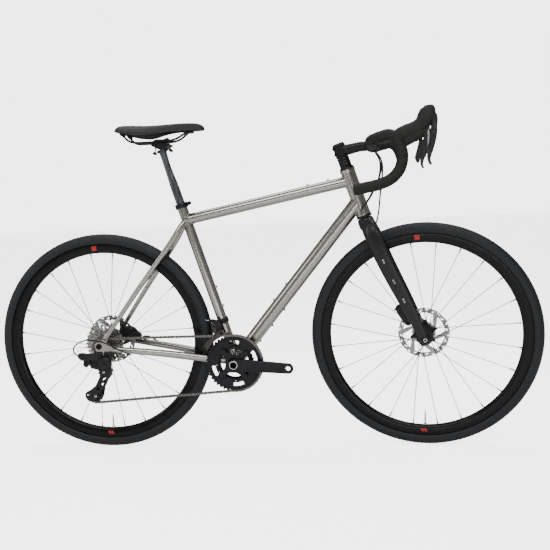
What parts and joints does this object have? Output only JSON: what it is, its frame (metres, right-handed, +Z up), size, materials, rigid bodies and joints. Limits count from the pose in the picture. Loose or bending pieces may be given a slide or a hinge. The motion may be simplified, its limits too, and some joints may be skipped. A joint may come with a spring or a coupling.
{
  "type": "road bicycle",
  "caption": "Drop-bar road bicycle with a metal diamond frame, straight carbon fork, disc brakes, wide tyres and a double chainring drivetrain; no pedals fitted.",
  "frame": {"origin": "on the ground, midway between the wheel axles, on the bicycle's centre plane", "axes": "+X forward, +Y to the rider's left, +Z up"},
  "size_m": [1.7168, 0.5028, 1.0358],
  "materials": {
    "titanium": "brushed titanium",
    "black_alloy": "black anodised",
    "black_carbon": "matt black carbon",
    "rim_black": "satin black carbon",
    "tyre_rubber": "matt rubber",
    "grip": "soft black",
    "steel": "bare steel",
    "chain_steel": "oiled steel",
    "plastic": "satin black plastic",
    "cover": "matt synthetic leather",
    "silver": "bright",
    "blue_black": "blue-black anodised"
  },
  "bodies": {
    "frame": {"main_frame": "titanium", "seat_collar": "blue_black", "bb_cup_right": "black_alloy", "bb_cup_left": "black_alloy", "headset_upper": "black_alloy", "headset_lower": "black_alloy", "rear_axle": "black_alloy", "rear_caliper": "black_alloy", "fd_clamp": "plastic", "chain": "chain_steel", "rear_brake_hose": "plastic", "rear_shift_housing": "plastic", "rd_body": "plastic"},
    "seat": {"seatpost": "black_alloy", "saddle_clamp": "black_alloy", "saddle_rails": "black_alloy", "saddle": "cover"},
    "front_end": {"fork": "black_carbon", "headset_spacers": "black_alloy", "stem": "black_alloy", "stem_faceplate": "black_alloy", "top_cap": "black_alloy", "handlebar": "black_alloy", "bar_tape_right": "grip", "bar_tape_left": "grip", "hood_right": "grip", "hood_left": "grip", "front_axle": "black_alloy", "front_caliper": "black_alloy", "front_brake_hose": "plastic", "rear_brake_hose_loop": "plastic", "shift_housing_loop": "plastic"},
    "front_wheel": {"front_tyre": "tyre_rubber", "front_rim": "rim_black", "front_hub": "black_alloy", "front_spokes_right": "steel", "front_spokes_left": "steel", "front_rotor": "steel", "front_valve": "silver"},
    "rear_wheel": {"rear_tyre": "tyre_rubber", "rear_rim": "rim_black", "rear_hub": "black_alloy", "rear_spokes_right": "steel", "rear_spokes_left": "steel", "rear_rotor": "steel", "rear_valve": "silver"},
    "cassette": {"cassette": "steel"},
    "cranks": {"crank_right": "black_alloy", "crank_left": "black_alloy", "large_chainring": "black_alloy", "small_chainring": "black_alloy"},
    "brake_lever_right": {"brake_lever_right": "black_alloy"},
    "brake_lever_left": {"brake_lever_left": "black_alloy"},
    "shift_paddle_right": {"shift_paddle_right": "plastic"},
    "shift_paddle_left": {"shift_paddle_left": "plastic"},
    "fd_cage": {"fd_cage": "chain_steel"},
    "rd_link": {"rd_link": "black_alloy"},
    "rd_cage": {"rd_cage": "plastic"},
    "upper_pulley": {"upper_pulley": "plastic"},
    "lower_pulley": {"lower_pulley": "plastic"}
  },
  "joints": [
    {"name": "steering", "type": "hinge", "parent": "frame", "child": "front_end", "pos_m": [0.3079, 0, 0.8002], "axis": [-0.3173, 0, 0.9483], "range_deg": [-49, 61], "deforming": ["front_brake_hose", "rear_brake_hose_loop", "shift_housing_loop"]},
    {"name": "front_wheel_spin", "type": "hinge", "parent": "front_end", "child": "front_wheel", "pos_m": [0.50815, -0.00498, 0.35092], "axis": [0.0991, 0.9945, 0.0332], "continuous": true},
    {"name": "rear_wheel_spin", "type": "hinge", "parent": "frame", "child": "rear_wheel", "pos_m": [-0.5084, 0, 0.351], "axis": [0, 1, 0], "continuous": true},
    {"name": "crank_spin", "type": "hinge", "parent": "frame", "child": "cranks", "pos_m": [-0.0844, 0, 0.283], "axis": [0, 1, 0], "continuous": true},
    {"name": "cassette_spin", "type": "hinge", "parent": "frame", "child": "cassette", "pos_m": [-0.5084, 0, 0.351], "axis": [0, 1, 0], "continuous": true},
    {"name": "brake_lever_right_pull", "type": "hinge", "parent": "front_end", "child": "brake_lever_right", "pos_m": [0.49704, -0.23991, 0.97645], "axis": [0.0991, 0.9945, 0.0332], "range_deg": [0, 18], "stiffness_Nm_per_rad": 0.4},
    {"name": "brake_lever_left_pull", "type": "hinge", "parent": "front_end", "child": "brake_lever_left", "pos_m": [0.53947, 0.18575, 0.99065], "axis": [0.0991, 0.9945, 0.0332], "range_deg": [0, 18], "stiffness_Nm_per_rad": 0.4},
    {"name": "shift_paddle_right_swing", "type": "hinge", "parent": "brake_lever_right", "child": "shift_paddle_right", "pos_m": [0.4901, -0.23882, 0.96447], "axis": [0.2397, -0.0562, 0.9692], "range_deg": [0, 12], "stiffness_Nm_per_rad": 0.05},
    {"name": "shift_paddle_left_swing", "type": "hinge", "parent": "brake_lever_left", "child": "shift_paddle_left", "pos_m": [0.53252, 0.18684, 0.97867], "axis": [0.2397, -0.0562, 0.9692], "range_deg": [-12, 0], "stiffness_Nm_per_rad": 0.05},
    {"name": "seatpost_slide", "type": "slide", "parent": "frame", "child": "seat", "axis": [-0.2928, 0, 0.9562], "range_m": [-0.06, 0.04]},
    {"name": "front_shift", "type": "hinge", "parent": "frame", "child": "fd_cage", "pos_m": [-0.1364, -0.03, 0.402], "axis": [-0.2928, 0, 0.9562], "range_deg": [0, 3], "stiffness_Nm_per_rad": 0.5, "deforming": ["chain"]},
    {"name": "rear_shift", "type": "hinge", "parent": "frame", "child": "rd_link", "pos_m": [-0.5054, -0.078, 0.322], "axis": [0, 0, 1], "range_deg": [0, 8], "stiffness_Nm_per_rad": 0.5, "deforming": ["chain"]},
    {"name": "rd_cage_spin", "type": "hinge", "parent": "rd_link", "child": "rd_cage", "pos_m": [-0.4944, -0.064, 0.3], "axis": [0, 1, 0], "range_deg": [-4, 26], "stiffness_Nm_per_rad": 0.3, "deforming": ["chain"]},
    {"name": "upper_pulley_spin", "type": "hinge", "parent": "rd_cage", "child": "upper_pulley", "pos_m": [-0.5004, -0.064, 0.268], "axis": [0, 1, 0], "continuous": true},
    {"name": "lower_pulley_spin", "type": "hinge", "parent": "rd_cage", "child": "lower_pulley", "pos_m": [-0.5324, -0.064, 0.19], "axis": [0, 1, 0], "continuous": true}
  ],
  "couplings": [
    {"joint": "cassette_spin", "follows": "crank_spin", "ratio": 4},
    {"joint": "upper_pulley_spin", "follows": "crank_spin", "ratio": -4},
    {"joint": "lower_pulley_spin", "follows": "crank_spin", "ratio": 4}
  ]
}
